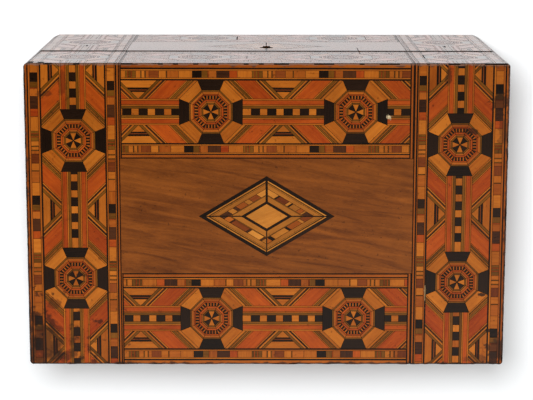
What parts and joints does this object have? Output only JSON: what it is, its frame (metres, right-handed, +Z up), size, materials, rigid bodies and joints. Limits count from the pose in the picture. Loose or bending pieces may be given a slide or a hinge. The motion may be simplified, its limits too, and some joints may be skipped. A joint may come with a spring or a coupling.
{
  "type": "veneered parquetry box",
  "caption": "Rectangular wooden box with a deep lift-off lid, walnut fields, parquetry friezes and columns with octagonal medallions, and a lozenge with a keyhole.",
  "frame": {"origin": "on the surface that the box stands on, under the middle of the box", "axes": "+Z up, the front with the keyhole faces -Y, +X to the right of someone facing the front"},
  "size_m": [0.3, 0.192, 0.175],
  "materials": {
    "walnut": "walnut veneer under old warm varnish",
    "parquetry": "parquetry of satinwood, red, olive and dark woods under old warm varnish",
    "ebonised": "medallions of black and light woods under old warm varnish",
    "satinwood": "light figured veneer under old warm varnish",
    "carcase": "bare softwood boards"
  },
  "bodies": {
    "root": {"base_back_board": "carcase", "base_back_veneer": "walnut", "base_bottom_board": "carcase", "base_front_board": "carcase", "base_front_field": "walnut", "base_front_frieze": "parquetry", "base_front_frieze_left_medallion": "ebonised", "base_front_frieze_right_medallion": "ebonised", "base_front_left_column": "parquetry", "base_front_left_column_medallion": "ebonised", "base_front_lozenge": "satinwood", "base_front_right_column": "parquetry", "base_front_right_column_medallion": "ebonised", "base_left_board": "carcase", "base_left_veneer": "walnut", "base_right_board": "carcase", "base_right_veneer": "walnut", "lid_back_board": "carcase", "lid_back_veneer": "walnut", "lid_front_board": "carcase", "lid_front_frieze": "parquetry", "lid_front_frieze_left_medallion": "ebonised", "lid_front_frieze_right_medallion": "ebonised", "lid_front_left_column": "parquetry", "lid_front_left_column_medallion": "ebonised", "lid_front_right_column": "parquetry", "lid_front_right_column_medallion": "ebonised", "lid_left_board": "carcase", "lid_left_veneer": "walnut", "lid_right_board": "carcase", "lid_right_veneer": "walnut", "lid_top_back_frieze": "parquetry", "lid_top_back_frieze_left_medallion": "ebonised", "lid_top_back_frieze_right_medallion": "ebonised", "lid_top_board": "carcase", "lid_top_field": "walnut", "lid_top_front_frieze": "parquetry", "lid_top_front_frieze_left_medallion": "ebonised", "lid_top_front_frieze_right_medallion": "ebonised", "lid_top_left_column": "parquetry", "lid_top_left_column_back_medallion": "ebonised", "lid_top_left_column_front_medallion": "ebonised", "lid_top_lozenge": "satinwood", "lid_top_right_column": "parquetry", "lid_top_right_column_back_medallion": "ebonised", "lid_top_right_column_front_medallion": "ebonised"}
  },
  "joints": []
}
